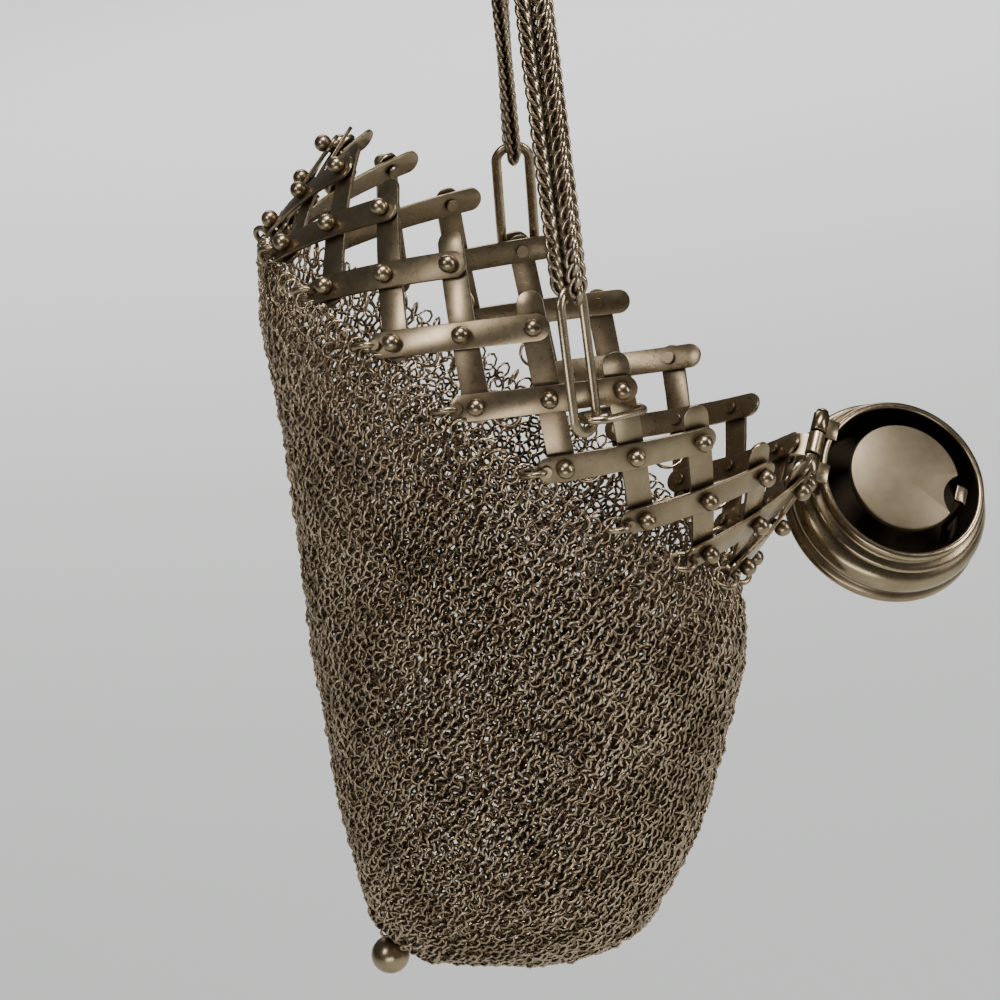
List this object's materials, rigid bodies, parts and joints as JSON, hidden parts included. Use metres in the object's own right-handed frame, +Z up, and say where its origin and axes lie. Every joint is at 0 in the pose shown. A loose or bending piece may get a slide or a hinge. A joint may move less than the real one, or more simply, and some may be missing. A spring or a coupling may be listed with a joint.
{
  "type": "gate-top metal mesh purse",
  "caption": "Small metal mesh purse with a riveted lattice gate for a mouth, a hinged round lid, a ball under the bag and a woven chain handle.",
  "frame": {"origin": "underside of the chain handle's bend, where the purse hangs", "axes": "+Z up; +X to the right, the side on which the open lid hangs; +Y away from the viewer"},
  "size_m": [0.1062, 0.0976, 0.2276],
  "materials": {
    "gate_silver": "worn polished silver with brown tarnish",
    "mesh_silver": "tarnished silver ring mesh",
    "chain_silver": "tarnished silver woven chain",
    "lid_silver": "polished silver, warm, with dark tarnish in the grooves",
    "dark_silver": "dark tarnished silver"
  },
  "bodies": {
    "purse": {"outer_strip_01": "gate_silver", "outer_strip_02": "gate_silver", "outer_strip_03": "gate_silver", "outer_strip_04": "gate_silver", "outer_strip_05": "gate_silver", "outer_strip_06": "gate_silver", "outer_strip_07": "gate_silver", "outer_strip_08": "gate_silver", "outer_strip_09": "gate_silver", "outer_strip_10": "gate_silver", "outer_strip_11": "gate_silver", "outer_strip_12": "gate_silver", "outer_strip_13": "gate_silver", "outer_strip_14": "gate_silver", "outer_strip_15": "gate_silver", "outer_strip_16": "gate_silver", "outer_strip_17": "gate_silver", "outer_strip_18": "gate_silver", "inner_strip_01": "gate_silver", "inner_strip_03": "gate_silver", "inner_strip_04": "gate_silver", "inner_strip_05": "gate_silver", "inner_strip_06": "gate_silver", "inner_strip_07": "gate_silver", "inner_strip_08": "gate_silver", "inner_strip_09": "gate_silver", "inner_strip_10": "gate_silver", "inner_strip_11": "gate_silver", "inner_strip_12": "gate_silver", "inner_strip_13": "gate_silver", "inner_strip_14": "gate_silver", "inner_strip_15": "gate_silver", "inner_strip_16": "gate_silver", "inner_strip_17": "gate_silver", "inner_strip_18": "gate_silver", "hinge_strip": "gate_silver", "bottom_cap": "gate_silver", "link_ring": "gate_silver", "long_link_near": "gate_silver", "long_link_far": "gate_silver", "mesh_bag": "mesh_silver", "handle_chain": "chain_silver"},
    "lid": {"lid_shell": "lid_silver", "coin_plate": "lid_silver", "coin_catch": "dark_silver", "hinge_pin": "dark_silver"}
  },
  "joints": [
    {"name": "lid_hinge", "type": "hinge", "parent": "purse", "child": "lid", "pos_m": [0.03538, 0.00303, -0.15423], "axis": [0.4165, 0.666, 0.6188], "range_deg": [-96, 0]}
  ]
}
